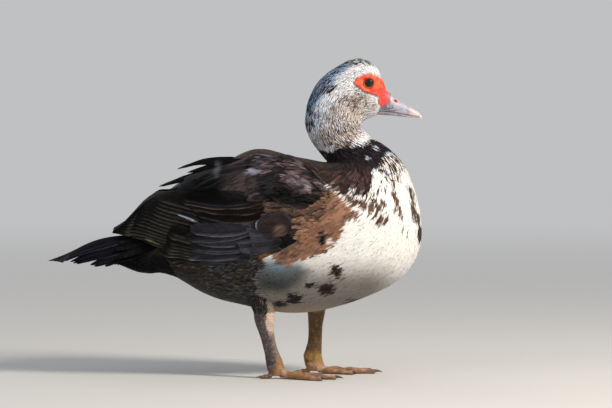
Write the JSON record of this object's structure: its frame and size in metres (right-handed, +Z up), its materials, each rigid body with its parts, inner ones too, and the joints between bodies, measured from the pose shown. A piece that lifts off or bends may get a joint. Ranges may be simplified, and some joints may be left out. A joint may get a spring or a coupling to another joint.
{
  "type": "muscovy duck",
  "caption": "Standing muscovy hen at life size: upright head with red face skin, closed bill, folded wings, level tail and webbed feet, as a still display model.",
  "frame": {"origin": "on the floor, under the middle of the bird's bounding box", "axes": "+X forward, towards the bill; +Y the bird's left; +Z up"},
  "size_m": [0.4492, 0.1882, 0.3806],
  "materials": {
    "plumage_dark": "feather sheen, blue to purple gloss",
    "plumage_white": "soft feather, brown and black patches",
    "plumage_grey": "short soft feather, dark streaks",
    "plumage_brown": "soft feather",
    "face_skin": "fine warts, satin",
    "bill": "satin horn",
    "eye": "wet gloss",
    "leg_skin": "scaled skin, satin",
    "claw": "satin horn"
  },
  "bodies": {
    "root": {"wing_right": "plumage_dark", "wing_left": "plumage_dark", "tail": "plumage_dark", "trunk": "plumage_white", "head": "plumage_grey", "neck": "plumage_grey", "thigh_right": "plumage_brown", "thigh_left": "plumage_brown", "bill_upper": "bill", "bill_lower": "bill", "eye_right": "eye", "eye_left": "eye", "shank_right": "leg_skin", "shank_left": "leg_skin", "foot_right": "leg_skin", "foot_left": "leg_skin", "claw_i_right": "claw", "claw_ii_right": "claw", "claw_iii_right": "claw", "claw_iv_right": "claw", "claw_i_left": "claw", "claw_ii_left": "claw", "claw_iii_left": "claw", "claw_iv_left": "claw"}
  },
  "joints": []
}
